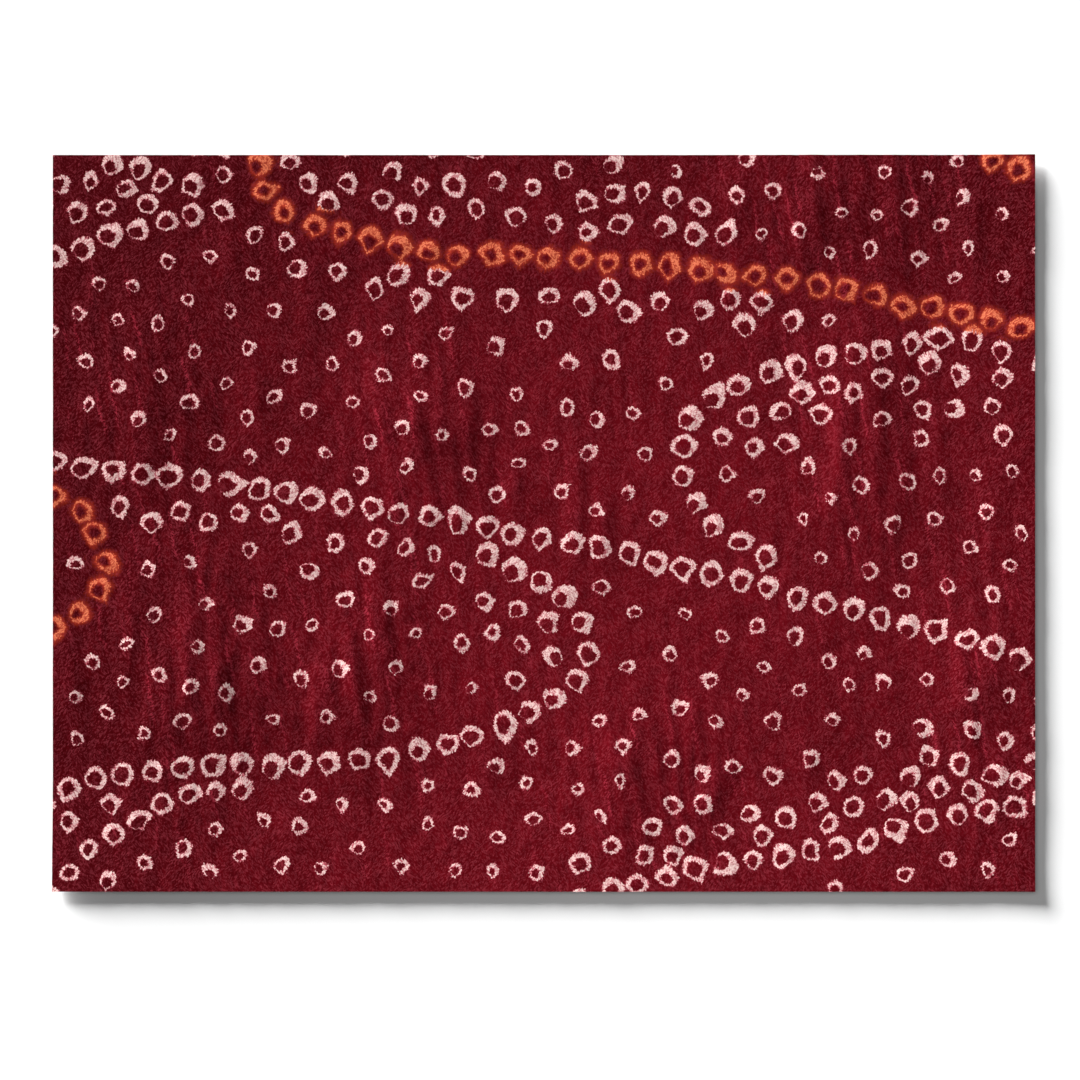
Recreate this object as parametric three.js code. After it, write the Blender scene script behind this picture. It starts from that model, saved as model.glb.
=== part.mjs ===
// A cut length of kanoko shibori silk crepe lying on a table.
// One sheet, flat where it touches. Broad low swells carry narrower crinkles that run
// nearly upright, and the right and lower edges stand a little off the table.

import * as THREE from "three";
import { mergeVertices } from "three/addons/utils/BufferGeometryUtils.js";

// Cut size and the sheet, in millimetres.
const CLOTH_WIDTH = 240;
const CLOTH_DEPTH = 180;
const SHEET_THICKNESS = 1;

// Cells of the sheet: fine across the crinkles and longer along them.
const CELL_ACROSS = 2.4;
const CELL_ALONG = 7.5;

// Height of the two edges that curl off the table, how far in the curl starts and how it steepens.
const RIGHT_EDGE_LIFT = 1.5;
const LOWER_EDGE_LIFT = 1.5;
const EDGE_CURL_REACH = 28;
const EDGE_CURL_POWER = 1.4;

// Broad swells of the cloth. x and y: middle of the swell. length: from end to end.
// lean: degrees from upright, with the top leaning left. reach: from crest to foot.
const SWELLS = [
  { x: -86, y: -36, length: 92, lean: 5, reach: 26, height: 0.9 },
  { x: -45, y: -34, length: 72, lean: 7, reach: 19, height: 0.7 },
  { x: -30, y: 24, length: 74, lean: 11, reach: 22, height: 0.9 },
  { x: -98, y: 30, length: 66, lean: 3, reach: 22, height: 0.6 },
  { x: 78, y: 18, length: 96, lean: 1, reach: 20, height: 0.8 },
  { x: 106, y: -36, length: 84, lean: 3, reach: 18, height: 0.6 },
  { x: 72, y: 80, length: 52, lean: 2, reach: 34, height: 0.6 },
  { x: 22, y: -64, length: 54, lean: 14, reach: 28, height: 0.7 },
];

// Crinkles, a row for each, with the same columns as the swells.
const CRINKLES = [
  { x: -39, y: 30, length: 26, lean: 13, reach: 4.6, height: 0.55 },
  { x: -32, y: 25, length: 30, lean: 13, reach: 4.4, height: 0.65 },
  { x: -25.5, y: 26, length: 22, lean: 11, reach: 4.2, height: 0.5 },
  { x: -19.5, y: 23, length: 26, lean: 8, reach: 4.6, height: 0.4 },
  { x: -7, y: 10, length: 22, lean: 12, reach: 4.8, height: 0.4 },
  { x: -101, y: -22, length: 24, lean: 3, reach: 4.8, height: 0.4 },
  { x: -93, y: -42, length: 30, lean: 4, reach: 4.4, height: 0.55 },
  { x: -86.5, y: -32, length: 44, lean: 4, reach: 4.4, height: 0.7 },
  { x: -80, y: -38, length: 46, lean: 6, reach: 4.6, height: 0.65 },
  { x: -68, y: -36, length: 30, lean: 5, reach: 5, height: 0.35 },
  { x: -54, y: -44, length: 28, lean: 2, reach: 4.4, height: 0.55 },
  { x: -46.5, y: -38, length: 40, lean: 6, reach: 4.4, height: 0.65 },
  { x: -39.5, y: -30, length: 34, lean: 8, reach: 4.6, height: 0.5 },
  { x: -116, y: -40, length: 34, lean: 3, reach: 5, height: 0.4 },
  { x: -98, y: 22, length: 40, lean: 3, reach: 5, height: 0.4 },
  { x: -71, y: 32, length: 36, lean: 2, reach: 5, height: 0.35 },
  { x: -77, y: 64, length: 26, lean: 9, reach: 4.6, height: 0.35 },
  { x: -57, y: 56, length: 36, lean: -2, reach: 5, height: 0.35 },
  { x: 8, y: 2, length: 42, lean: 1, reach: 4.6, height: 0.5 },
  { x: 14.5, y: -2, length: 38, lean: 1, reach: 4.4, height: 0.35 },
  { x: 48, y: 80, length: 30, lean: 2, reach: 5, height: 0.35 },
  { x: 65, y: 76, length: 36, lean: 3, reach: 4.8, height: 0.5 },
  { x: 85, y: 74, length: 38, lean: 2, reach: 4.8, height: 0.5 },
  { x: 104, y: 72, length: 36, lean: 4, reach: 5, height: 0.35 },
  { x: 73, y: 18, length: 56, lean: 1, reach: 4.8, height: 0.5 },
  { x: 81, y: 14, length: 44, lean: 2, reach: 4.6, height: 0.4 },
  { x: 96, y: 12, length: 50, lean: 4, reach: 5, height: 0.4 },
  { x: 110, y: 4, length: 40, lean: -6, reach: 5, height: 0.35 },
  { x: 103, y: -40, length: 40, lean: 3, reach: 4.4, height: 0.5 },
  { x: 109.5, y: -38, length: 34, lean: 2, reach: 4.4, height: 0.35 },
  { x: -14, y: -62, length: 24, lean: 8, reach: 5, height: 0.4 },
  { x: 19, y: -60, length: 28, lean: 25, reach: 5, height: 0.55 },
  { x: 41, y: -66, length: 24, lean: -22, reach: 5.2, height: 0.5 },
  { x: 64, y: -58, length: 26, lean: 10, reach: 5, height: 0.35 },
  { x: -62, y: -76, length: 24, lean: 6, reach: 5, height: 0.35 },
];

// A bump that is one at its middle and falls smoothly to nothing at its reach.
function bump(distance, reach) {
  const inside = Math.max(0, 1 - (distance / reach) ** 2);
  return inside * inside;
}

// Height of one swell or crinkle at a point of the cloth.
function ridge(row, x, y) {
  const lean = THREE.MathUtils.degToRad(row.lean);
  const across = (x - row.x) * Math.cos(lean) + (y - row.y) * Math.sin(lean);
  const along = (y - row.y) * Math.cos(lean) - (x - row.x) * Math.sin(lean);
  return row.height * bump(across, row.reach) * bump(along, row.length / 2);
}

// Height of a curled edge, from how far outside the line where the curl starts.
function curl(outside, height) {
  return height * (Math.max(0, outside) / EDGE_CURL_REACH) ** EDGE_CURL_POWER;
}

// How far the underside stands off the table at a point. The two curls run together at the corner.
function lift(x, y) {
  const right = curl(x - (CLOTH_WIDTH / 2 - EDGE_CURL_REACH), RIGHT_EDGE_LIFT);
  const lower = curl(-y - (CLOTH_DEPTH / 2 - EDGE_CURL_REACH), LOWER_EDGE_LIFT);
  let height = (right ** 4 + lower ** 4) ** 0.25;
  for (const row of [...SWELLS, ...CRINKLES]) {
    height += ridge(row, x, y);
  }
  return height;
}

// The sheet: a thin slab cut into cells, each of its points raised by the lift below it.
function makeCloth() {
  const cellsAcross = Math.round(CLOTH_WIDTH / CELL_ACROSS);
  const cellsAlong = Math.round(CLOTH_DEPTH / CELL_ALONG);
  const slab = new THREE.BoxGeometry(
    CLOTH_WIDTH, CLOTH_DEPTH, SHEET_THICKNESS, cellsAcross, cellsAlong, 1,
  );
  slab.translate(0, 0, SHEET_THICKNESS / 2);
  slab.deleteAttribute("normal");
  slab.deleteAttribute("uv");
  const sheet = mergeVertices(slab);
  const points = sheet.getAttribute("position");
  for (let i = 0; i < points.count; i += 1) {
    points.setZ(i, points.getZ(i) + lift(points.getX(i), points.getY(i)));
  }
  sheet.computeVertexNormals();
  return sheet;
}

const silk = new THREE.MeshStandardMaterial({ color: 0x6c161e, roughness: 0.75, metalness: 0 });

const cloth = new THREE.Mesh(makeCloth(), silk);
cloth.name = "cloth";

const group = new THREE.Group();
group.name = "shibori_cloth";
group.add(cloth);

export default group;
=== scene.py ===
"""A cut length of kanoko shibori silk crepe, lying flat on a pale table."""

import math
import random

import bmesh
import bpy
import numpy as np
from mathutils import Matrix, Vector, kdtree, noise


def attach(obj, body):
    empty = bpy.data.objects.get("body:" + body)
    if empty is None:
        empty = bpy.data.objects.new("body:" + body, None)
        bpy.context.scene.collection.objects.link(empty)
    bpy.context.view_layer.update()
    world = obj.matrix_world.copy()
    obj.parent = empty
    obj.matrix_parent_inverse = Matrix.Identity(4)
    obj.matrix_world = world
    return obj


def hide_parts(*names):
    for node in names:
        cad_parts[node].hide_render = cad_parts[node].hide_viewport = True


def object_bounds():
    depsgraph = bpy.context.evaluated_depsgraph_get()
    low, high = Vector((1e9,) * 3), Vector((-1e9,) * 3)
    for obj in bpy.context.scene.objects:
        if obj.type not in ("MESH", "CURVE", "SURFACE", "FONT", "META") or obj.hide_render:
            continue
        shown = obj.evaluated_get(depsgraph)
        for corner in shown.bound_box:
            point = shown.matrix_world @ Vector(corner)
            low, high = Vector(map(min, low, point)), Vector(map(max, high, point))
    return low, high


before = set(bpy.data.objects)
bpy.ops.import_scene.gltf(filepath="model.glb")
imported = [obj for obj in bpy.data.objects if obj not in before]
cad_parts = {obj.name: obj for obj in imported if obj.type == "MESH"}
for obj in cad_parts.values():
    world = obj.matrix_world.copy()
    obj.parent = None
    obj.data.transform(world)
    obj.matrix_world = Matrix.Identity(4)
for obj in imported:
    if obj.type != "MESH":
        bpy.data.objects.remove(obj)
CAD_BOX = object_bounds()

bl_info = {
    "name": "Shibori silk cloth",
    "version": (1, 0, 0),
    "blender": (4, 5, 0),
    "location": "3D View > Sidebar > Shibori",
    "description": "Lays a tie-dyed length of silk crepe, with its table, lamps and camera",
    "category": "Add Mesh",
}

MM = 0.001
CUT_WIDTH = CAD_BOX[1][0] - CAD_BOX[0][0]
CUT_DEPTH = CAD_BOX[1][1] - CAD_BOX[0][1]

# The main folds, in millimetres, as they are in the solid.
# x and y: middle of the fold. length: from end to end. lean: degrees from upright, with the top
# leaning left. reach: from crest to foot.
RIGHT_EDGE_LIFT = 1.5
LOWER_EDGE_LIFT = 1.5
EDGE_CURL_REACH = 28
EDGE_CURL_POWER = 1.4
FOLD_COLUMNS = ("x", "y", "length", "lean", "reach", "height")
SWELLS = [dict(zip(FOLD_COLUMNS, row)) for row in (
    (-86, -36, 92, 5, 26, 0.9),
    (-45, -34, 72, 7, 19, 0.7),
    (-30, 24, 74, 11, 22, 0.9),
    (-98, 30, 66, 3, 22, 0.6),
    (78, 18, 96, 1, 20, 0.8),
    (106, -36, 84, 3, 18, 0.6),
    (72, 80, 52, 2, 34, 0.6),
    (22, -64, 54, 14, 28, 0.7),
)]
CRINKLES = [dict(zip(FOLD_COLUMNS, row)) for row in (
    (-39, 30, 26, 13, 4.6, 0.55),
    (-32, 25, 30, 13, 4.4, 0.65),
    (-25.5, 26, 22, 11, 4.2, 0.5),
    (-19.5, 23, 26, 8, 4.6, 0.4),
    (-7, 10, 22, 12, 4.8, 0.4),
    (-101, -22, 24, 3, 4.8, 0.4),
    (-93, -42, 30, 4, 4.4, 0.55),
    (-86.5, -32, 44, 4, 4.4, 0.7),
    (-80, -38, 46, 6, 4.6, 0.65),
    (-68, -36, 30, 5, 5, 0.35),
    (-54, -44, 28, 2, 4.4, 0.55),
    (-46.5, -38, 40, 6, 4.4, 0.65),
    (-39.5, -30, 34, 8, 4.6, 0.5),
    (-116, -40, 34, 3, 5, 0.4),
    (-98, 22, 40, 3, 5, 0.4),
    (-71, 32, 36, 2, 5, 0.35),
    (-77, 64, 26, 9, 4.6, 0.35),
    (-57, 56, 36, -2, 5, 0.35),
    (8, 2, 42, 1, 4.6, 0.5),
    (14.5, -2, 38, 1, 4.4, 0.35),
    (48, 80, 30, 2, 5, 0.35),
    (65, 76, 36, 3, 4.8, 0.5),
    (85, 74, 38, 2, 4.8, 0.5),
    (104, 72, 36, 4, 5, 0.35),
    (73, 18, 56, 1, 4.8, 0.5),
    (81, 14, 44, 2, 4.6, 0.4),
    (96, 12, 50, 4, 5, 0.4),
    (110, 4, 40, -6, 5, 0.35),
    (103, -40, 40, 3, 4.4, 0.5),
    (109.5, -38, 34, 2, 4.4, 0.35),
    (-14, -62, 24, 8, 5, 0.4),
    (19, -60, 28, 25, 5, 0.55),
    (41, -66, 24, -22, 5.2, 0.5),
    (64, -58, 26, 10, 5, 0.35),
    (-62, -76, 24, 6, 5, 0.35),
)]

# Lines of tied rings, in millimetres, each charted as a few bends.
# rows: further rows beside a line. gap: from the line to the row, to the left of the line's way.
# first and last: the stretch of the line that the row follows, as shares of its length.
LINES = (
    {
        "name": "orange stream", "brushed": True, "pitch": 7.3, "radius": 2.85,
        "bends": (
            (-69.5, 92), (-68, 81.5), (-62, 76), (-48, 70.8), (-26, 66.2), (-4, 65.8),
            (25, 63), (55, 60.3), (72, 57.3), (88, 53.3), (105, 51), (122, 46.5),
        ),
        "rows": (
            {"gap": 7.6, "first": 0.06, "last": 0.6, "pitch": 8.2, "radius": 2.8},
            {"gap": 14.4, "first": 0.09, "last": 0.56, "pitch": 8.6, "radius": 2.7},
            {"gap": 21, "first": 0.14, "last": 0.5, "pitch": 9.6, "radius": 2.5},
            {"gap": -7.8, "first": 0.02, "last": 0.16, "pitch": 9.6, "radius": 2.3},
            {"gap": -7.8, "first": 0.22, "last": 0.7, "pitch": 8.6, "radius": 2.8},
            {"gap": -15, "first": 0.24, "last": 0.62, "pitch": 11, "radius": 2.7},
            {"gap": -23, "first": 0.3, "last": 0.58, "pitch": 12.5, "radius": 2.5},
            {"gap": -31.5, "first": 0.4, "last": 0.56, "pitch": 13, "radius": 2.4},
        ),
    },
    {
        "name": "orange bend", "brushed": True, "pitch": 7.1, "radius": 2.8,
        "bends": ((-122, 9), (-113, 3), (-107.6, -8), (-107.6, -15), (-112, -20.5), (-122, -27)),
        "rows": (),
    },
    {
        "name": "orange corner", "brushed": True, "pitch": 7.0, "radius": 2.8,
        "bends": ((107.5, 92), (112, 88), (122, 84.5)),
        "rows": (),
    },
    {
        "name": "upper bank", "brushed": False, "pitch": 7.2, "radius": 2.95,
        "bends": ((-123, 64.3), (-103.3, 71.1), (-88.5, 75.2), (-74.5, 77.8)),
        "rows": (
            {"gap": 6.8, "first": 0, "last": 0.95, "pitch": 7.6, "radius": 2.7},
            {"gap": 13.4, "first": 0, "last": 0.9, "pitch": 8.2, "radius": 2.6},
            {"gap": 20, "first": 0, "last": 0.9, "pitch": 9.2, "radius": 2.4},
        ),
    },
    {
        "name": "right leaf", "brushed": False, "pitch": 7.3, "radius": 3,
        "bends": (
            (123, 46), (109, 45.4), (95.5, 44.6), (81, 42.7), (66.8, 40.2), (52, 35.5),
            (38.5, 28.5), (33.4, 18), (34, 11.3), (37, 5.6), (45.6, -3.3), (58, -11),
        ),
        "rows": (
            {"gap": 6.9, "first": 0, "last": 0.62, "pitch": 7.7, "radius": 2.8},
            {"gap": 13.8, "first": 0, "last": 0.55, "pitch": 9, "radius": 2.6},
            {"gap": 20.6, "first": 0, "last": 0.5, "pitch": 10.5, "radius": 2.3},
            {"gap": 28, "first": 0.05, "last": 0.42, "pitch": 12, "radius": 2.1},
            {"gap": -7.6, "first": 0.6, "last": 0.95, "pitch": 10, "radius": 2.2},
        ),
    },
    {
        "name": "long stream", "brushed": False, "pitch": 7.1, "radius": 3,
        "bends": (
            (-123, 16.3), (-113.7, 14.4), (-97.7, 11.8), (-75.9, 9.5), (-53.8, 5.9), (-32, 2.2),
            (-10, -1.5), (11.5, -5.7), (38.3, -11.2), (65.4, -18.9), (92.8, -25.9), (123, -34.4),
        ),
        "rows": (
            {"gap": -7.2, "first": 0.1, "last": 0.38, "pitch": 8.6, "radius": 2.6},
            {"gap": -14.4, "first": 0.14, "last": 0.36, "pitch": 10, "radius": 2.4},
            {"gap": -21.6, "first": 0.2, "last": 0.34, "pitch": 11.5, "radius": 2.2},
            {"gap": 8, "first": 0.84, "last": 1, "pitch": 10.4, "radius": 2.2},
            {"gap": -8, "first": 0.84, "last": 1, "pitch": 10.4, "radius": 2.2},
        ),
    },
    {
        "name": "left leaf", "brushed": False, "pitch": 7.2, "radius": 3,
        "bends": (
            (-30, -2.5), (-19, -4.8), (-8, -10.6), (4.5, -17.8), (9.5, -23), (11, -29),
            (10, -35.3), (5, -40.5), (-7, -48), (-20, -52.7), (-38.5, -57.3), (-53, -58.8),
            (-70, -59), (-86, -59.4), (-101, -61), (-123, -66),
        ),
        "rows": (
            {"gap": -7, "first": 0.02, "last": 0.36, "pitch": 8, "radius": 2.6},
            {"gap": -14, "first": 0.03, "last": 0.32, "pitch": 9.5, "radius": 2.4},
            {"gap": -21, "first": 0.04, "last": 0.27, "pitch": 11, "radius": 2.2},
            {"gap": 6.8, "first": 0.8, "last": 1, "pitch": 8, "radius": 2.5},
        ),
    },
    {
        "name": "lower branch", "brushed": False, "pitch": 7.0, "radius": 2.75,
        "bends": ((-123, -93), (-108.2, -78), (-96.5, -70.7), (-84.5, -66), (-70, -64.2)),
        "rows": (
            {"gap": -7.4, "first": 0, "last": 0.9, "pitch": 9.4, "radius": 2.2},
            {"gap": 7.2, "first": 0, "last": 0.6, "pitch": 9, "radius": 2.3},
        ),
    },
    {
        "name": "lower bank", "brushed": False, "pitch": 7.2, "radius": 2.95,
        "bends": (
            (6, -93), (19.3, -88.8), (33.4, -85.6), (48, -82.6), (62.3, -80.5), (76, -77.7),
            (88, -74.6), (101.3, -71.2), (123, -66.8),
        ),
        "rows": (
            {"gap": 6.4, "first": 0.08, "last": 1, "pitch": 7.6, "radius": 2.7},
            {"gap": 12.6, "first": 0.2, "last": 1, "pitch": 8.2, "radius": 2.5},
            {"gap": 19, "first": 0.3, "last": 1, "pitch": 9.4, "radius": 2.3},
            {"gap": 25.5, "first": 0.4, "last": 1, "pitch": 11, "radius": 2.1},
            {"gap": -8, "first": 0.4, "last": 1, "pitch": 10.4, "radius": 2.2},
        ),
    },
)

# Where rings may stand, in millimetres: how far past the cut, how far a row draws them in, and how
# far apart the spots are that are tried.
CUT_OVERHANG = 3
ROW_REACH = 4.5
SPOT_STEP = 1.2

# Shares of the rings with a band that is open at one side, and with their lower half turned to the
# right. An open band's hole slips further by the given share of the band.
OPEN_SHARE = 0.22
OPEN_SLIP = 0.45
TURNED_SHARE = 0.25

# A pointed ring reaches further at its corners than a round one, by one over this share.
CORNER_SHARE = 0.8
RING_PARTS = ("place", "hole", "swell", "lean")

# Sizes in the weave, in millimetres, across and along: a slanted thread that shows, a step in a
# ring's edge, a blot of the crepe's mottling and the room that one worn crease has.
THREAD = (0.22, 0.44)
EDGE_STEP = (0.42, 1.3)
MOTTLE = (0.9, 1.9)
CREASE = (4.2, 17)
# Slants in degrees of the threads, the mottling and the creases.
THREAD_SLANT = 40
MOTTLE_SLANT = 18
CREASE_SLANT = 11
# How far apart, in millimetres, rings start to run together in a neck.
NECK = 1.1

# The stage, in metres: half the table's side, the middle of the softbox, and the middle of the view.
TABLE_HALF = 8
SOFTBOX_PLACE = (0.045, -0.04, 0.26)
VIEW_MIDDLE = (-0.85 * MM, -4.15 * MM, 1.5 * MM)


def linear(hex_colour):
    """Turns an sRGB hex colour into the linear values that a shader takes."""
    parts = [int(hex_colour[i:i + 2], 16) / 255 for i in (0, 2, 4)]
    return tuple(c / 12.92 if c <= 0.04045 else ((c + 0.055) / 1.055) ** 2.4 for c in parts)


class ShiboriClothSizes(bpy.types.PropertyGroup):
    """Sizes of the cut length and its relief."""

    width: bpy.props.FloatProperty(
        name="Width", description="Cut width, along X", default=CUT_WIDTH, unit="LENGTH")
    depth: bpy.props.FloatProperty(
        name="Depth", description="Cut depth, along Y", default=CUT_DEPTH, unit="LENGTH")
    thickness: bpy.props.FloatProperty(
        name="Thickness", description="Thickness of the silk", default=0.45 * MM, unit="LENGTH")
    cells_across: bpy.props.IntProperty(
        name="Cells across", description="Mesh cells along X", default=256, min=16)
    cells_along: bpy.props.IntProperty(
        name="Cells along", description="Mesh cells along Y", default=192, min=16)
    grain_rise: bpy.props.FloatProperty(
        name="Grain rise", description="Height of the dome that the tie leaves in a large ring",
        default=0.12 * MM, unit="LENGTH")
    streak_rise: bpy.props.FloatProperty(
        name="Streak rise", description="Height of the fine upright crinkles",
        default=0.3 * MM, unit="LENGTH")
    pebble_rise: bpy.props.FloatProperty(
        name="Pebble rise", description="Height of the crepe's soft pebbling",
        default=0.12 * MM, unit="LENGTH")


class ShiboriRingRule(bpy.types.PropertyGroup):
    """How the tied rings are spaced and shaped."""

    seed: bpy.props.IntProperty(
        name="Seed", description="Start of the random draws for the rings", default=7)
    wander: bpy.props.FloatProperty(
        name="Wander", description="How far a ring strays from its row",
        default=0.55 * MM, unit="LENGTH")
    row_closeness: bpy.props.FloatProperty(
        name="Row closeness", description="Least distance between the rings of a row, as a share of"
        " their pitch", default=0.76, min=0.5, max=1)
    scatter_gap: bpy.props.FloatProperty(
        name="Scatter gap", description="Least distance between the scattered rings",
        default=8.0 * MM, unit="LENGTH")
    scatter_small: bpy.props.FloatProperty(
        name="Smallest scattered ring", description="Radius of the smallest scattered ring",
        default=1.45 * MM, unit="LENGTH")
    scatter_large: bpy.props.FloatProperty(
        name="Largest scattered ring", description="Radius of the largest scattered ring",
        default=2.1 * MM, unit="LENGTH")
    ring_warp: bpy.props.FloatProperty(
        name="Ring warp", description="How far a ring's outline bends out of shape",
        default=0.8 * MM, unit="LENGTH")
    brush_reach: bpy.props.FloatProperty(
        name="Brush reach", description="Half width of the band brushed orange",
        default=3.2 * MM, unit="LENGTH")
    brush_bleed: bpy.props.FloatProperty(
        name="Brush bleed", description="How far the orange creeps out of its band",
        default=2.4 * MM, unit="LENGTH")


class ShiboriDyes(bpy.types.PropertyGroup):
    """Colours of the dyed and undyed silk, with the painted highlight and painted glints of the
    ground.
    """

    ground_deep: bpy.props.FloatVectorProperty(
        name="Deep ground", description="Ground red where the dye is deepest",
        default=linear("400308"), subtype="COLOR", min=0, max=1)
    # The bright end of the ground's mottling and of its painted pool of light.
    ground_bright: bpy.props.FloatVectorProperty(
        name="Bright ground", description="Ground red where the thread catches the light",
        default=linear("680a15"), subtype="COLOR", min=0, max=1)
    # Painted highlight: a lighter red laid along the crinkles' crests and streaks.
    painted_highlight: bpy.props.FloatVectorProperty(
        name="Worn ground", description="Ground red along a crest, where wear has thinned the dye",
        default=linear("942434"), subtype="COLOR", min=0, max=1)
    # Painted glint: single threads of the ground lightened as if catching the light.
    painted_glint: bpy.props.FloatVectorProperty(
        name="Fleck", description="Single threads of the ground that took less dye",
        default=linear("c85060"), subtype="COLOR", min=0, max=1)
    undyed: bpy.props.FloatVectorProperty(
        name="Undyed silk", description="Silk that the tie kept clear of dye",
        default=linear("dcbcb7"), subtype="COLOR", min=0, max=1)
    fringe: bpy.props.FloatVectorProperty(
        name="Ring fringe", description="Half-dyed silk at the edge of a ring",
        default=linear("b4505e"), subtype="COLOR", min=0, max=1)
    orange: bpy.props.FloatVectorProperty(
        name="Orange", description="Brushed orange on tied rings",
        default=linear("d47050"), subtype="COLOR", min=0, max=1)
    scarlet: bpy.props.FloatVectorProperty(
        name="Scarlet", description="Ground where the orange creeps under the red",
        default=linear("a03020"), subtype="COLOR", min=0, max=1)


class ShiboriStage(bpy.types.PropertyGroup):
    """Table, lamps and camera."""

    table: bpy.props.FloatVectorProperty(
        name="Table", description="Colour of the table", default=linear("fcfcfc"),
        subtype="COLOR", min=0, max=1)
    key_strength: bpy.props.FloatProperty(
        name="Key strength", description="Strength of the low lamp at the upper left", default=15.9)
    key_height: bpy.props.FloatProperty(
        name="Key height", description="Angle of the low lamp above the table",
        default=math.radians(11), subtype="ANGLE")
    key_turn: bpy.props.FloatProperty(
        name="Key turn", description="Way that the low lamp shines over the table, from +X",
        default=math.radians(-48), subtype="ANGLE")
    key_breadth: bpy.props.FloatProperty(
        name="Key breadth", description="Angle that the low lamp fills, seen from the cloth",
        default=math.radians(32), subtype="ANGLE")
    fill_power: bpy.props.FloatProperty(
        name="Fill power", description="Power of the softbox overhead", default=0.185, unit="POWER")
    fill_size: bpy.props.FloatProperty(
        name="Fill size", description="Side of the softbox", default=0.2, unit="LENGTH")
    room_strength: bpy.props.FloatProperty(
        name="Room strength", description="Strength of the light from the room", default=0.06)
    lens: bpy.props.FloatProperty(
        name="Lens", description="Focal length of the camera in millimetres", default=100)
    view_width: bpy.props.FloatProperty(
        name="View width", description="Width of table that the camera takes in",
        default=263.8 * MM, unit="LENGTH")


def bump(distance, reach):
    """A form that is one at its middle and falls smoothly to nothing at its reach."""
    inside = np.maximum(0.0, 1.0 - (distance / reach) ** 2)
    return inside * inside


def across_and_along(row, x, y):
    """How far points are from a fold's crest, and how far along it, in millimetres."""
    lean = math.radians(row["lean"])
    across = (x - row["x"]) * math.cos(lean) + (y - row["y"]) * math.sin(lean)
    along = (y - row["y"]) * math.cos(lean) - (x - row["x"]) * math.sin(lean)
    return across, along


def fold_height(x, y):
    """Height of the main folds over points of the cloth, all in millimetres, as in the solid."""
    right = np.maximum(0.0, x - (CUT_WIDTH / MM / 2 - EDGE_CURL_REACH)) / EDGE_CURL_REACH
    lower = np.maximum(0.0, -y - (CUT_DEPTH / MM / 2 - EDGE_CURL_REACH)) / EDGE_CURL_REACH
    right = RIGHT_EDGE_LIFT * right ** EDGE_CURL_POWER
    lower = LOWER_EDGE_LIFT * lower ** EDGE_CURL_POWER
    height = (right ** 4 + lower ** 4) ** 0.25
    for row in SWELLS + CRINKLES:
        across, along = across_and_along(row, x, y)
        height += row["height"] * bump(across, row["reach"]) * bump(along, row["length"] / 2)
    return height


def soft_noise(x, y, across, along, layer):
    """Smooth noise over points of the cloth, with features of the given sizes, from -1 to 1."""
    return np.array([
        noise.noise(Vector((u / across, v / along, layer))) for u, v in zip(x, y)
    ])


def crinkle_patches(x, y):
    """Where the cloth is crinkled: most of all over its swells, and a little elsewhere."""
    patch = 0.3 + 0.35 * soft_noise(x, y, 30, 40, 3.7)
    for row in SWELLS:
        across, along = across_and_along(row, x, y)
        patch += bump(across, 1.3 * row["reach"]) * bump(along, 0.6 * row["length"])
    return np.clip(patch, 0.05, 1)


def hairline_ridges(x, y):
    """Fine upright crinkles whose tops lean left: 1 along a ridge, falling to 0 beside it."""
    wobble = 1.4 * soft_noise(x, y, 9, 14, 8.1)
    off_ridge = np.abs(soft_noise(x + 0.12 * y + wobble, y, 3.6, 24, 1.3))
    return crinkle_patches(x, y) * np.clip(1 - 2.2 * off_ridge, 0, 1) ** 1.5


def painted_crest_highlights(x, y):
    """Lines along the crests of the crinkles, where a highlight is painted, from 0 to 1."""
    wobble = 0.8 * soft_noise(x, y, 6, 11, 2.9)
    painted_highlight = np.zeros_like(x)
    for row in CRINKLES:
        across, along = across_and_along(row, x, y)
        line = 0.4 * row["height"] * bump(across + wobble, 1.5) * bump(along, row["length"] / 2)
        painted_highlight = np.maximum(painted_highlight, line)
    return painted_highlight


def smooth_line(bends):
    """Points along a smooth line through a few bends, about half a millimetre apart."""
    ends = [2 * np.array(bends[0]) - bends[1], *map(np.array, bends),
            2 * np.array(bends[-1]) - bends[-2]]
    points = []
    for before, start, end, after in zip(ends, ends[1:], ends[2:], ends[3:]):
        steps = max(2, int(np.hypot(*(end - start)) / 0.5))
        for t in np.linspace(0, 1, steps, endpoint=False):
            points.append(0.5 * (
                2 * start + (end - before) * t
                + (2 * before - 5 * start + 4 * end - after) * t ** 2
                + (3 * start - before - 3 * end + after) * t ** 3))
    return np.array(points + [ends[-2]])


def row_path(line, gap, first, last):
    """The path of a row beside a line, along a stretch of it."""
    way = np.gradient(line, axis=0)
    way /= np.hypot(way[:, 0], way[:, 1])[:, None]
    path = line + gap * np.column_stack((-way[:, 1], way[:, 0]))
    return path[int(first * len(path)):int(math.ceil(last * len(path)))]


def stations(path, pitch):
    """Places along a path, a pitch apart."""
    run = np.concatenate(([0], np.cumsum(np.hypot(*np.diff(path, axis=0).T))))
    at = np.arange(pitch / 2, run[-1], pitch)
    return np.column_stack((np.interp(at, run, path[:, 0]), np.interp(at, run, path[:, 1])))


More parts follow.
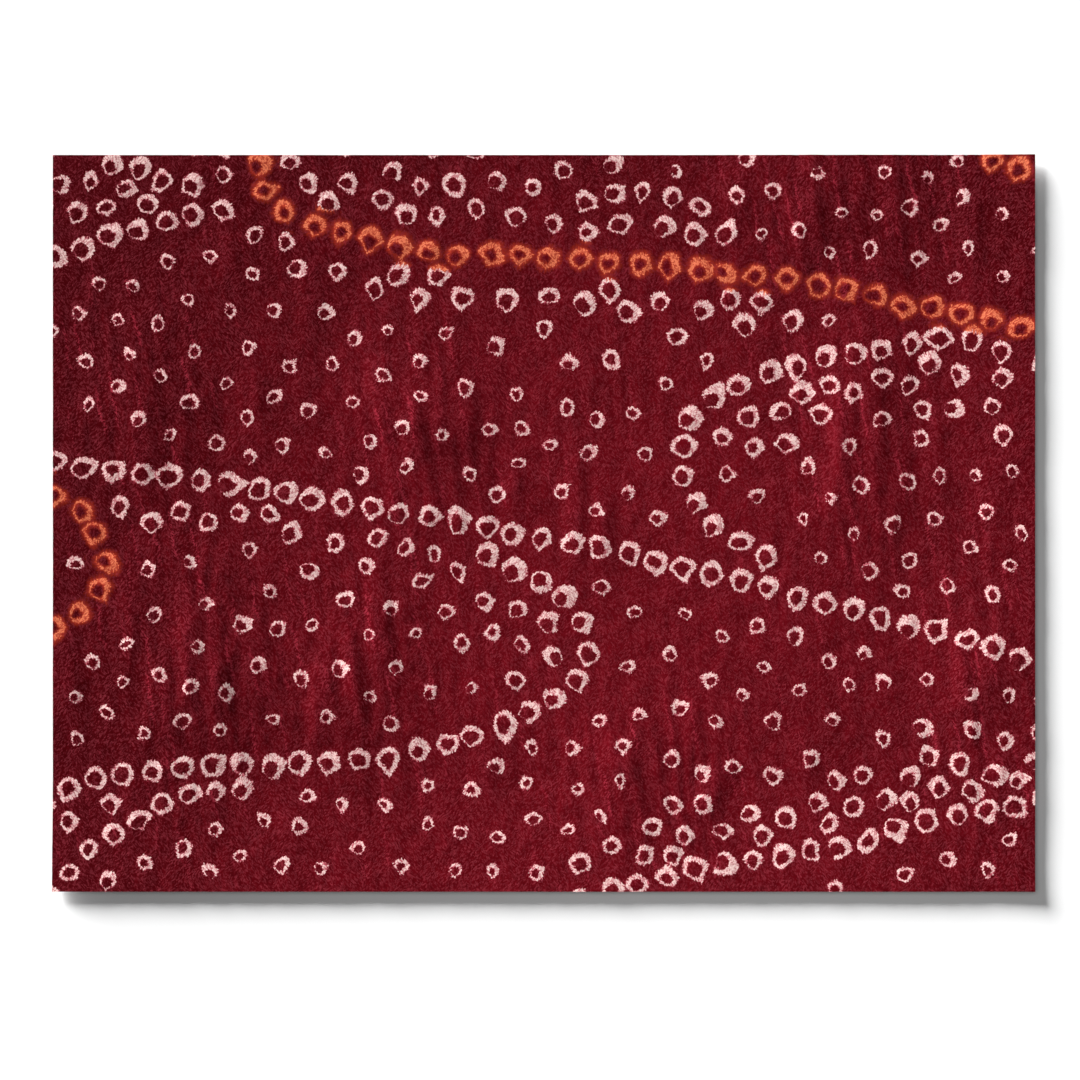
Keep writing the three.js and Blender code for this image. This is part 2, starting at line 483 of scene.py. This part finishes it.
def lay_out_rings(rule):
    """Works out each ring's place and radius, in millimetres: first the lines, then the rest.

    The rest go one by one where there is most room for what belongs there: close together and
    large along the rows beside a line, further apart and small on the ground between."""
    draw = random.Random(rule.seed)
    reach_x = CUT_WIDTH / MM / 2 + CUT_OVERHANG
    reach_y = CUT_DEPTH / MM / 2 + CUT_OVERHANG
    stray = rule.wander / MM
    rings = []
    lines = [smooth_line(line["bends"]) for line in LINES]
    for line, path in zip(LINES, lines):
        for x, y in stations(path, line["pitch"]):
            x += draw.uniform(-1, 1) * stray
            y += draw.uniform(-1, 1) * stray
            radius = line["radius"] * draw.uniform(0.86, 1.03)
            free = all(math.hypot(x - r[0], y - r[1]) > radius + r[2] for r in rings)
            if free and abs(x) < reach_x and abs(y) < reach_y:
                rings.append((x, y, radius))

    half = SPOT_STEP / 2
    spots = np.array([(x + draw.uniform(-half, half), y + draw.uniform(-half, half))
                      for x in np.arange(-reach_x, reach_x, SPOT_STEP)
                      for y in np.arange(-reach_y, reach_y, SPOT_STEP)])
    spacing = np.full(len(spots), rule.scatter_gap / MM)
    large = np.zeros(len(spots))
    nearest_row = np.full(len(spots), ROW_REACH)
    for line, path in zip(LINES, lines):
        for row in line["rows"]:
            along = row_path(path, row["gap"], row["first"], row["last"])[::3]
            away = np.hypot(spots[:, :1] - along[:, 0], spots[:, 1:] - along[:, 1]).min(axis=1)
            closer = away < nearest_row
            nearest_row[closer] = away[closer]
            spacing[closer] = row["pitch"] * rule.row_closeness
            large[closer] = row["radius"]
    room = np.full(len(spots), np.inf)
    for x, y, radius in rings:
        room = np.minimum(room, np.hypot(spots[:, 0] - x, spots[:, 1] - y))
    while True:
        best = int(np.argmax(room / spacing))
        if room[best] < spacing[best]:
            return rings, [p for line, p in zip(LINES, lines) if line["brushed"]]
        x, y = (float(v) for v in spots[best])
        if large[best]:
            radius = float(large[best]) * draw.uniform(0.78, 1.03)
        else:
            radius = draw.uniform(rule.scatter_small, rule.scatter_large) / MM
        rings.append((x, y, radius))
        room = np.minimum(room, np.hypot(spots[:, 0] - x, spots[:, 1] - y))


def shape_rings(rings, seed):
    """Gives each ring its hole and its form.

    The hole sits off to the lower left, where the band is thinnest, and some bands are open there.
    swell: stretch across and along, and turn, which brings the lower half of some to the right.
    lean: how far the form is pulled to the left and down, and how pointed its lower half is."""
    draw = random.Random(seed + 1)
    shaped = []
    for x, y, radius in rings:
        hole = radius * draw.uniform(0.54, 0.66)
        slip = draw.uniform(0.15, 0.7) + (OPEN_SLIP if draw.random() < OPEN_SHARE else 0)
        aim = math.radians(225 + draw.gauss(0, 34))
        shift = (radius - hole) * slip
        stretch = draw.gauss(0, 0.06)
        turned = draw.random() < TURNED_SHARE
        turn = draw.gauss(-1.9, 0.35) if turned else draw.gauss(0.1, 0.3)
        shaped.append({
            "place": (x, y, radius),
            "hole": (x + shift * math.cos(aim), y + shift * math.sin(aim), hole),
            "swell": (1 + stretch, 1 - stretch, turn),
            "lean": (draw.gauss(0, 0.07), draw.gauss(0.03, 0.08), draw.uniform(0.1, 0.9)),
        })
    return shaped


def outside_ring(away, size, swell, lean):
    """How far points lie outside ring outlines, in millimetres, as the dye's nodes measure it."""
    turn = swell[..., 2]
    turned = np.stack((away[..., 0] * np.cos(turn) - away[..., 1] * np.sin(turn),
                       away[..., 0] * np.sin(turn) + away[..., 1] * np.cos(turn)), axis=-1)
    formed = turned * swell[..., :2] + np.abs(turned) * lean[..., :2]
    rounded = np.hypot(formed[..., 0], formed[..., 1])
    pointed = CORNER_SHARE * np.abs(formed).sum(axis=-1)
    low = np.clip((1 - formed[..., 1]) / 2, 0, 1)
    return rounded + (pointed - rounded) * lean[..., 2] * low - size


def new_node(tree, kind, feeds=None, **settings):
    """Adds a node with its settings, and feeds its inputs with values or other outputs."""
    node = tree.nodes.new(kind)
    for name, value in settings.items():
        setattr(node, name, value)
    for socket, value in (feeds or {}).items():
        if isinstance(value, bpy.types.Node):
            value = value.outputs[0]
        if isinstance(value, bpy.types.NodeSocket):
            tree.links.new(value, node.inputs[socket])
        else:
            node.inputs[socket].default_value = value
    return node


def tied_ring_group():
    """Nodes that measure how far a point lies outside a tied ring's outline and outside its hole."""
    tree = bpy.data.node_groups.new("tied_ring", "ShaderNodeTree")
    for name in ("point", *RING_PARTS):
        tree.interface.new_socket(name=name, in_out="INPUT", socket_type="NodeSocketVector")
    for name in ("outline", "hole"):
        tree.interface.new_socket(name=name, in_out="OUTPUT", socket_type="NodeSocketFloat")
    given = new_node(tree, "NodeGroupInput").outputs
    turn = new_node(tree, "ShaderNodeSeparateXYZ", {0: given["swell"]}).outputs[2]
    corner = new_node(tree, "ShaderNodeSeparateXYZ", {0: given["lean"]}).outputs[2]
    distances = {}
    # The upper half is round and the lower half pointed, less so in the hole than in the outline.
    for name, part, sharpness in (("outline", "place", 1.0), ("hole", "hole", 0.6)):
        size = new_node(tree, "ShaderNodeSeparateXYZ", {0: given[part]}).outputs[2]
        away = new_node(tree, "ShaderNodeVectorMath", {0: given["point"], 1: given[part]},
                        operation="SUBTRACT")
        flat = new_node(tree, "ShaderNodeVectorMath", {0: away, 1: (1, 1, 0)}, operation="MULTIPLY")
        turned = new_node(tree, "ShaderNodeVectorRotate", {"Vector": flat, "Angle": turn},
                          rotation_type="Z_AXIS")
        swollen = new_node(tree, "ShaderNodeVectorMath", {0: turned, 1: given["swell"]},
                           operation="MULTIPLY")
        folded = new_node(tree, "ShaderNodeVectorMath", {0: turned}, operation="ABSOLUTE")
        formed = new_node(tree, "ShaderNodeVectorMath", {0: folded, 1: given["lean"], 2: swollen},
                          operation="MULTIPLY_ADD")
        rounded = new_node(tree, "ShaderNodeVectorMath", {0: formed}, operation="LENGTH")
        quarter = new_node(tree, "ShaderNodeVectorMath", {0: formed}, operation="ABSOLUTE")
        pointed = new_node(tree, "ShaderNodeVectorMath",
                           {0: quarter, 1: (CORNER_SHARE, CORNER_SHARE, 0)},
                           operation="DOT_PRODUCT")
        height = new_node(tree, "ShaderNodeSeparateXYZ", {0: formed}).outputs[1]
        low = new_node(tree, "ShaderNodeMapRange",
                       {"Value": height, "From Min": 1, "From Max": -1, "To Max": sharpness})
        sharp = new_node(tree, "ShaderNodeMath", {0: corner, 1: low}, operation="MULTIPLY")
        blend = new_node(tree, "ShaderNodeMix",
                         {0: sharp, 2: rounded.outputs["Value"], 3: pointed.outputs["Value"]})
        distances[name] = new_node(tree, "ShaderNodeMath", {0: blend, 1: size},
                                   operation="SUBTRACT")
    new_node(tree, "NodeGroupOutput", distances)
    return tree


def kanoko_silk_crepe(dyes):
    """Silk crepe, piece-dyed red after tying, with orange brushed along some lines.

    Twisted crepe threads give a matt face with a fine broken grain, and the tie leaves pale rings
    with ragged, half-dyed edges where single threads took up colour."""
    material = bpy.data.materials.new("kanoko_silk_crepe")
    material.use_nodes = True
    tree = material.node_tree
    tree.nodes.clear()

    # Points of the cloth in millimetres, laid flat.
    object_place = new_node(tree, "ShaderNodeTexCoord").outputs["Object"]
    point = new_node(tree, "ShaderNodeVectorMath", {0: object_place, 1: (1 / MM, 1 / MM, 0)},
                     operation="MULTIPLY")

    # Threads: short slanted dashes, each with its own random value, which sets how it takes up dye at
    # a ring's edge, its painted glint, its share of the painted highlight and the painted shade in
    # its gaps. The slant changes over from one side of a fold to the other.
    slants = [new_node(tree, "ShaderNodeMapping",
                       {"Vector": point, "Rotation": (0, 0, math.radians(slant)),
                        "Scale": (*THREAD, 1)}, vector_type="TEXTURE")
              for slant in (THREAD_SLANT, -THREAD_SLANT)]
    turn = new_node(tree, "ShaderNodeAttribute", attribute_name="thread_turn").outputs["Fac"]
    turned = new_node(tree, "ShaderNodeMath", {0: turn, 1: 0.5}, operation="GREATER_THAN")
    slanted = new_node(tree, "ShaderNodeMix", {0: turned, 4: slants[0], 5: slants[1]},
                       data_type="VECTOR").outputs[1]
    dashes = new_node(tree, "ShaderNodeTexVoronoi", {"Vector": slanted, "Scale": 1},
                      voronoi_dimensions="2D")
    threads = dashes.outputs["Color"]

    # Rings: the points stray with a slow wander and with the steps of single threads, which run
    # across and along the cloth, before the rings are drawn.
    wander = new_node(tree, "ShaderNodeAttribute", attribute_name="ring_wander").outputs["Vector"]
    steps = []
    for threadwise_size in (EDGE_STEP[::-1], EDGE_STEP):
        threadwise = new_node(tree, "ShaderNodeMapping",
                              {"Vector": point, "Scale": (*threadwise_size, 1)},
                              vector_type="TEXTURE")
        steps.append(new_node(tree, "ShaderNodeTexNoise",
                              {"Vector": threadwise, "Scale": 1, "Detail": 0.5},
                              noise_dimensions="2D"))
    stepped = new_node(tree, "ShaderNodeCombineXYZ", {0: steps[0], 1: steps[1]})
    stepped = new_node(tree, "ShaderNodeVectorMath",
                       {0: stepped, 1: (0.8, 0.8, 0), 2: (-0.4, -0.4, 0)},
                       operation="MULTIPLY_ADD")
    strays = new_node(tree, "ShaderNodeVectorMath", {0: point, 1: wander}, operation="ADD")
    strays = new_node(tree, "ShaderNodeVectorMath", {0: strays, 1: stepped}, operation="ADD")
    group = tied_ring_group()
    measured = []
    for which_ring in ("near", "next"):
        feeds = {part: new_node(tree, "ShaderNodeAttribute",
                                attribute_name=f"{which_ring}_{part}").outputs["Vector"]
                 for part in RING_PARTS}
        measured.append(new_node(tree, "ShaderNodeGroup", {"point": strays, **feeds},
                                 node_tree=group).outputs)
    # Rings that almost touch run together in a neck.
    outline = new_node(tree, "ShaderNodeMath",
                       {0: measured[0]["outline"], 1: measured[1]["outline"], 2: NECK},
                       operation="SMOOTH_MIN")
    hole = new_node(tree, "ShaderNodeMath", {0: measured[0]["hole"], 1: measured[1]["hole"]},
                    operation="MINIMUM")
    # At the edges each thread takes up dye as a whole.
    outer_edge = new_node(tree, "ShaderNodeMath", {0: threads, 1: 0.5, 2: outline},
                          operation="MULTIPLY_ADD")
    inside = new_node(tree, "ShaderNodeMapRange",
                      {"Value": outer_edge, "From Min": 0.4, "From Max": -0.1},
                      interpolation_type="SMOOTHSTEP")
    inner_edge = new_node(tree, "ShaderNodeMath", {0: threads, 1: -0.3, 2: hole},
                          operation="MULTIPLY_ADD")
    past_hole = new_node(tree, "ShaderNodeMapRange",
                         {"Value": inner_edge, "From Min": -0.35, "From Max": 0.1},
                         interpolation_type="SMOOTHSTEP")
    tied = new_node(tree, "ShaderNodeMath", {0: inside, 1: past_hole}, operation="MULTIPLY")

    # Orange: brushed along a band, with an edge that creeps along the threads, and a narrow
    # scarlet fringe round the rings where it creeps under the red.
    band = new_node(tree, "ShaderNodeAttribute", attribute_name="orange_band").outputs["Fac"]
    creep = new_node(tree, "ShaderNodeMath", {0: steps[1], 1: 0.8, 2: -0.4},
                     operation="MULTIPLY_ADD")
    crept = new_node(tree, "ShaderNodeMath", {0: band, 1: creep}, operation="ADD")
    brushed = new_node(tree, "ShaderNodeMapRange",
                       {"Value": crept, "From Min": 0.4, "From Max": 0.7},
                       interpolation_type="SMOOTHSTEP")
    by_ring = new_node(tree, "ShaderNodeMapRange",
                       {"Value": outer_edge, "From Min": 1.5, "From Max": 0.1, "To Max": 0.5},
                       interpolation_type="SMOOTHSTEP")
    in_hole = new_node(tree, "ShaderNodeMapRange",
                       {"Value": hole, "From Min": -0.9, "From Max": 0.0},
                       interpolation_type="SMOOTHSTEP")
    by_ring = new_node(tree, "ShaderNodeMath", {0: by_ring, 1: in_hole}, operation="MULTIPLY")
    glow = new_node(tree, "ShaderNodeMath", {0: by_ring, 1: brushed}, operation="MULTIPLY")

    # Painted highlight streaks: soft upright creases in patches, about 1 mm wide and 15 mm long, with
    # their tops leaning left.
    upright = new_node(tree, "ShaderNodeMapping",
                       {"Vector": strays, "Rotation": (0, 0, math.radians(CREASE_SLANT)),
                        "Scale": (*CREASE, 1)}, vector_type="TEXTURE")
    crease = new_node(tree, "ShaderNodeTexVoronoi", {"Vector": upright, "Scale": 1},
                      voronoi_dimensions="2D")
    aside = new_node(tree, "ShaderNodeVectorMath", {0: upright, 1: crease.outputs["Position"]},
                     operation="SUBTRACT")
    aside = new_node(tree, "ShaderNodeVectorMath", {0: aside}, operation="ABSOLUTE")
    aside = new_node(tree, "ShaderNodeSeparateXYZ", {0: aside})
    patch = new_node(tree, "ShaderNodeAttribute", attribute_name="crinkle_patch").outputs["Fac"]
    painted_streak = new_node(tree, "ShaderNodeMapRange",
                      {"Value": aside.outputs[0], "From Min": 0.16, "From Max": 0.0,
                       "To Max": patch}, interpolation_type="SMOOTHSTEP")
    fading = new_node(tree, "ShaderNodeMapRange",
                      {"Value": aside.outputs[1], "From Min": 0.5, "From Max": 0.2},
                      interpolation_type="SMOOTHSTEP")
    painted_streak = new_node(tree, "ShaderNodeMath", {0: painted_streak, 1: fading}, operation="MULTIPLY")
    bright = new_node(tree, "ShaderNodeMapRange",
                      {"Value": crease.outputs["Color"], "From Min": 0.3, "From Max": 0.7,
                       "To Max": 0.7})
    painted_streak = new_node(tree, "ShaderNodeMath", {0: painted_streak, 1: bright}, operation="MULTIPLY")

    # Ground red: deeper and brighter clouds of dye with a painted pool of light, brightest a little
    # right of and below the middle and darker towards the edges, mottled by the crepe, with a painted
    # highlight along the crests and streaks, and painted glints on single threads.
    # These clouds carry the painted pool of light as well as the clouds of dye.
    clouds = new_node(tree, "ShaderNodeAttribute", attribute_name="dye_cloud_and_painted_falloff").outputs["Fac"]
    crepe = new_node(tree, "ShaderNodeMapping",
                     {"Vector": point, "Rotation": (0, 0, math.radians(MOTTLE_SLANT)),
                      "Scale": (*MOTTLE, 1)}, vector_type="TEXTURE")
    mottle = new_node(tree, "ShaderNodeTexNoise",
                      {"Vector": crepe, "Scale": 1, "Detail": 1}, noise_dimensions="2D")
    share = new_node(tree, "ShaderNodeMath", {0: mottle, 1: 0.45, 2: clouds},
                     operation="MULTIPLY_ADD")
    share = new_node(tree, "ShaderNodeMath", {0: share, 1: 0.3}, operation="SUBTRACT",
                     use_clamp=True)
    ground = new_node(tree, "ShaderNodeMix",
                      {0: share, 6: (*dyes.ground_deep, 1), 7: (*dyes.ground_bright, 1)},
                      data_type="RGBA")
    # Painted highlight along the crests and streaks, broken up by the threads.
    crest = new_node(tree, "ShaderNodeAttribute", attribute_name="painted_crest_highlight").outputs["Fac"]
    painted_highlight = new_node(tree, "ShaderNodeMath", {0: crest, 1: painted_streak}, operation="MAXIMUM")
    speckle = new_node(tree, "ShaderNodeMapRange",
                       {"Value": threads, "From Min": 0.25, "From Max": 0.75})
    painted_highlight = new_node(tree, "ShaderNodeMath", {0: painted_highlight, 1: speckle}, operation="MULTIPLY")
    ground = new_node(tree, "ShaderNodeMix",
                      {0: painted_highlight, 6: ground.outputs[2], 7: (*dyes.painted_highlight, 1)}, data_type="RGBA")
    # Painted glints on single threads of the ground.
    painted_glints = new_node(tree, "ShaderNodeMapRange",
                      {"Value": threads, "From Min": 0.45, "From Max": 0.95, "To Max": 0.19})
    ground = new_node(tree, "ShaderNodeMix",
                      {0: painted_glints, 6: ground.outputs[2], 7: (*dyes.painted_glint, 1)}, data_type="RGBA")
    ground = new_node(tree, "ShaderNodeMix",
                      {0: glow, 6: ground.outputs[2], 7: (*dyes.scarlet, 1)}, data_type="RGBA")

    # The silk in the rings, with painted shade in the gaps between its threads, tinted with the
    # half-dyed red.
    clear = new_node(tree, "ShaderNodeMix",
                     {0: brushed, 6: (*dyes.undyed, 1), 7: (*dyes.orange, 1)}, data_type="RGBA")
    half = new_node(tree, "ShaderNodeMix",
                    {0: brushed, 6: (*dyes.fringe, 1), 7: (*dyes.scarlet, 1)}, data_type="RGBA")
    painted_gap_shade_depth = new_node(tree, "ShaderNodeMath", {0: brushed, 1: 0.1, 2: 0.85},
                         operation="MULTIPLY_ADD")
    painted_gap_shade = new_node(tree, "ShaderNodeMapRange",
                          {"Value": threads, "From Min": 0.3, "From Max": 0.8,
                           "To Max": painted_gap_shade_depth})
    gap = new_node(tree, "ShaderNodeMix",
                   {0: 0.6, 6: ground.outputs[2], 7: half.outputs[2]}, data_type="RGBA")
    clear = new_node(tree, "ShaderNodeMix",
                     {0: painted_gap_shade, 6: clear.outputs[2], 7: gap.outputs[2]}, data_type="RGBA")
    to_half = new_node(tree, "ShaderNodeMapRange",
                       {"Value": tied, "From Min": 0.08, "From Max": 0.5},
                       interpolation_type="SMOOTHSTEP")
    to_clear = new_node(tree, "ShaderNodeMapRange",
                        {"Value": tied, "From Min": 0.35, "From Max": 0.97},
                        interpolation_type="SMOOTHSTEP")
    edge = new_node(tree, "ShaderNodeMix",
                    {0: to_half, 6: ground.outputs[2], 7: half.outputs[2]}, data_type="RGBA")
    colour = new_node(tree, "ShaderNodeMix",
                      {0: to_clear, 6: edge.outputs[2], 7: clear.outputs[2]}, data_type="RGBA")

    # Relief: threads a few hundredths of a millimetre proud of the gaps between them.
    raised = new_node(tree, "ShaderNodeBump",
                      {"Height": dashes.outputs["Distance"], "Strength": 0.6, "Distance": 0.035 * MM},
                      invert=True)
    silk = new_node(tree, "ShaderNodeBsdfPrincipled",
                    {"Base Color": colour.outputs[2], "Roughness": 0.7, "IOR": 1.54,
                     "Specular IOR Level": 0.005, "Sheen Weight": 0.05, "Sheen Roughness": 0.4,
                     "Sheen Tint": (*dyes.ground_bright, 1), "Normal": raised})
    new_node(tree, "ShaderNodeOutputMaterial", {"Surface": silk})
    return material


def pale_card(stage):
    """Matt painted board: an even, very pale face with no gloss."""
    material = bpy.data.materials.new("pale_card")
    material.use_nodes = True
    tree = material.node_tree
    tree.nodes.clear()
    card = new_node(tree, "ShaderNodeBsdfPrincipled",
                    {"Base Color": (*stage.table, 1), "Roughness": 0.95,
                     "Specular IOR Level": 0.1})
    new_node(tree, "ShaderNodeOutputMaterial", {"Surface": card})
    return material


def ring_wander(x, y, reach):
    """How far the outlines of rings bend out of shape, in millimetres."""
    return reach * np.column_stack((soft_noise(x, y, 2.6, 2.6, 4.4),
                                    soft_noise(x, y, 2.6, 2.6, 7.7)))


def write_rings(mesh, rings, rule):
    """Notes on each face the two rings nearest to it, for the dye to be drawn from."""
    tree = kdtree.KDTree(len(rings))
    for index, ring in enumerate(rings):
        tree.insert((ring["place"][0], ring["place"][1], 0), index)
    tree.balance()
    middles = np.array([face.center[:2] for face in mesh.polygons]) / MM
    close = np.array([[hit[1] for hit in tree.find_n((x, y, 0), 6)] for x, y in middles])
    parts = {part: np.array([ring[part] for ring in rings]) for part in RING_PARTS}
    strayed = middles + ring_wander(middles[:, 0], middles[:, 1], rule.ring_warp / MM)
    place = parts["place"][close]
    past = outside_ring(strayed[:, None] - place[..., :2], place[..., 2],
                        parts["swell"][close], parts["lean"][close])
    nearest = np.take_along_axis(close, np.argsort(past, axis=1), axis=1)
    for column, which_ring in enumerate(("near", "next")):
        for part in RING_PARTS:
            notes = mesh.attributes.new(f"{which_ring}_{part}", "FLOAT_VECTOR", "FACE")
            notes.data.foreach_set("vector", parts[part][nearest[:, column]].ravel())


def write_dye(mesh, x, y, lines, rule):
    """Notes on each point what changes slowly over the cloth, for the dye to be drawn from."""
    dots = np.concatenate(lines)
    tree = kdtree.KDTree(len(dots))
    for index, dot in enumerate(dots):
        tree.insert((dot[0], dot[1], 0), index)
    tree.balance()
    away = np.array([tree.find((u, v, 0))[2] for u, v in zip(x, y)])
    start, end = rule.brush_reach / MM, (rule.brush_reach + rule.brush_bleed) / MM
    # Painted pool of light: the ground is brightest a little right of and below the middle, and
    # darker towards the edges.
    depth = 0.55 - 0.2 * ((x - 24) / 90) ** 2 - 0.2 * ((y + 22) / 92) ** 2
    clouds = 0.12 * soft_noise(x, y, 16, 26, 2.2) + 0.16 * soft_noise(x, y, 4.5, 8, 6.4)
    slopes = fold_height(x + 0.6, y) - fold_height(x - 0.6, y)
    notes = {
        "orange_band": np.clip((end - away) / (end - start), 0, 1),
        "dye_cloud_and_painted_falloff": depth + clouds,
        "painted_crest_highlight": painted_crest_highlights(x, y),
        "crinkle_patch": crinkle_patches(x, y),
        "thread_turn": np.clip(0.5 + 3 * slopes + 1.6 * soft_noise(x, y, 3.4, 7, 9.3), 0, 1),
    }
    for name, values in notes.items():
        mesh.attributes.new(name, "FLOAT", "POINT").data.foreach_set("value", values)
    wander = np.zeros((len(x), 3))
    wander[:, :2] = ring_wander(x, y, rule.ring_warp / MM)
    stray = mesh.attributes.new("ring_wander", "FLOAT_VECTOR", "POINT")
    stray.data.foreach_set("vector", wander.ravel())


def write_bake_map(mesh, sizes):
    """Lays out the face large over the underside, in one square map."""
    layout = mesh.uv_layers.new(name="OFBake")
    for face in mesh.polygons:
        top = face.normal.z > 0
        for corner in face.loop_indices:
            co = mesh.vertices[mesh.loops[corner].vertex_index].co
            across = co.x / sizes.width + 0.5
            along = co.y / sizes.depth + 0.5
            layout.data[corner].uv = (
                0.005 + 0.99 * across,
                0.26 + 0.735 * along if top else 0.005 + 0.24 * along)


class SHIBORI_OT_lay_cloth(bpy.types.Operator):
    """Lays the tie-dyed silk: a thin sheet on the solid's folds, with its crinkles and rings"""

    bl_idname = "shibori.lay_cloth"
    bl_label = "Lay the cloth"

    def execute(self, context):
        sizes = context.scene.shibori_cloth
        rule = context.scene.shibori_rings
        sheet = bmesh.new()
        grid = bmesh.ops.create_grid(
            sheet, x_segments=sizes.cells_across, y_segments=sizes.cells_along, size=0.5)
        bmesh.ops.scale(sheet, vec=(sizes.width, sizes.depth, 1), verts=grid["verts"])
        raised = bmesh.ops.extrude_face_region(sheet, geom=sheet.faces[:], use_keep_orig=True)
        bmesh.ops.translate(
            sheet, vec=(0, 0, sizes.thickness),
            verts=[v for v in raised["geom"] if isinstance(v, bmesh.types.BMVert)])
        bmesh.ops.recalc_face_normals(sheet, faces=sheet.faces[:])
        mesh = bpy.data.meshes.new("shibori_cloth")
        sheet.to_mesh(mesh)
        sheet.free()

        places = np.empty(len(mesh.vertices) * 3)
        mesh.vertices.foreach_get("co", places)
        places = places.reshape(-1, 3)
        x, y = places[:, 0] / MM, places[:, 1] / MM
        laid, lines = lay_out_rings(rule)
        rings = shape_rings(laid, rule.seed)
        height = fold_height(x, y) + sizes.streak_rise / MM * hairline_ridges(x, y)
        height += sizes.pebble_rise / MM * (soft_noise(x, y, 3.2, 4.4, 5.9) + 1)
        for ring_x, ring_y, radius in laid:
            away = np.hypot(x - ring_x, y - ring_y)
            dome = sizes.grain_rise / MM * radius / 3.0
            height += dome * bump(away, 1.15 * radius)
        places[:, 2] += (height - height.min()) * MM
        mesh.vertices.foreach_set("co", places.ravel())
        mesh.update()

        write_rings(mesh, rings, rule)
        write_dye(mesh, x, y, lines, rule)
        write_bake_map(mesh, sizes)
        mesh.materials.append(kanoko_silk_crepe(context.scene.shibori_dyes))
        mesh.polygons.foreach_set("use_smooth", [True] * len(mesh.polygons))
        mesh.set_sharp_from_angle(angle=math.radians(50))
        cloth = bpy.data.objects.new("shibori_cloth", mesh)
        context.scene.collection.objects.link(cloth)
        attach(cloth, "root")
        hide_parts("cloth")
        print("rings tied:", len(rings))
        return {"FINISHED"}


class SHIBORI_OT_set_stage(bpy.types.Operator):
    """Sets the table, the lamps and the camera straight above the cloth"""

    bl_idname = "shibori.set_stage"
    bl_label = "Set the stage"

    def execute(self, context):
        scene = context.scene
        stage = scene.shibori_stage
        top = bmesh.new()
        bmesh.ops.create_grid(top, x_segments=4, y_segments=4, size=TABLE_HALF)
        mesh = bpy.data.meshes.new("table")
        top.to_mesh(mesh)
        top.free()
        mesh.materials.append(pale_card(stage))
        table = bpy.data.objects.new("table", mesh)
        scene.collection.objects.link(table)

        key = bpy.data.lights.new("low_key", "SUN")
        key.energy = stage.key_strength
        key.angle = stage.key_breadth
        key_lamp = bpy.data.objects.new("low_key", key)
        towards = Vector((math.cos(stage.key_turn) * math.cos(stage.key_height),
                          math.sin(stage.key_turn) * math.cos(stage.key_height),
                          -math.sin(stage.key_height)))
        key_lamp.rotation_euler = towards.to_track_quat("-Z", "Y").to_euler()
        key_lamp.location = -towards
        scene.collection.objects.link(key_lamp)

        fill = bpy.data.lights.new("softbox", "AREA")
        fill.energy = stage.fill_power
        fill.shape = "RECTANGLE"
        fill.size = stage.fill_size
        fill.size_y = stage.fill_size
        fill_lamp = bpy.data.objects.new("softbox", fill)
        fill_lamp.location = SOFTBOX_PLACE
        scene.collection.objects.link(fill_lamp)

        world = bpy.data.worlds.new("pale_room")
        world.use_nodes = True
        background = world.node_tree.nodes["Background"]
        background.inputs["Color"].default_value = (1, 1, 1, 1)
        background.inputs["Strength"].default_value = stage.room_strength
        scene.world = world
        scene.view_settings.view_transform = "Standard"

        lens = bpy.data.cameras.new("camera")
        lens.lens = stage.lens
        lens.sensor_width = 36
        camera = bpy.data.objects.new("camera", lens)
        height = stage.view_width * stage.lens / lens.sensor_width
        camera.location = (VIEW_MIDDLE[0], VIEW_MIDDLE[1], VIEW_MIDDLE[2] + height)
        scene.collection.objects.link(camera)
        scene.camera = camera
        return {"FINISHED"}


class SHIBORI_PT_sidebar(bpy.types.Panel):
    """Lists the cloth's sizes, rings and dyes, the stage, and the steps that make them"""

    bl_label = "Shibori cloth"
    bl_idname = "SHIBORI_PT_sidebar"
    bl_space_type = "VIEW_3D"
    bl_region_type = "UI"
    bl_category = "Shibori"

    def draw(self, context):
        layout = self.layout
        for label, name, step in PANEL_ROWS:
            box = layout.box()
            box.label(text=label)
            group = getattr(context.scene, name)
            for prop in group.bl_rna.properties:
                if prop.identifier not in ("rna_type", "name"):
                    box.prop(group, prop.identifier)
            if step:
                box.operator(step)


PANEL_ROWS = (
    ("Rings", "shibori_rings", None),
    ("Dyes", "shibori_dyes", None),
    ("Cloth", "shibori_cloth", SHIBORI_OT_lay_cloth.bl_idname),
    ("Stage", "shibori_stage", SHIBORI_OT_set_stage.bl_idname),
)
SETTINGS = (
    ("shibori_cloth", ShiboriClothSizes),
    ("shibori_rings", ShiboriRingRule),
    ("shibori_dyes", ShiboriDyes),
    ("shibori_stage", ShiboriStage),
)
CLASSES = (*(group for _, group in SETTINGS), SHIBORI_OT_lay_cloth, SHIBORI_OT_set_stage,
           SHIBORI_PT_sidebar)


def register():
    for cls in CLASSES:
        bpy.utils.register_class(cls)
    for name, group in SETTINGS:
        setattr(bpy.types.Scene, name, bpy.props.PointerProperty(type=group))


def unregister():
    for name, _ in SETTINGS:
        delattr(bpy.types.Scene, name)
    for cls in reversed(CLASSES):
        bpy.utils.unregister_class(cls)


def main():
    register()
    bpy.ops.shibori.lay_cloth()
    bpy.ops.shibori.set_stage()


if __name__ == "__main__":
    main()
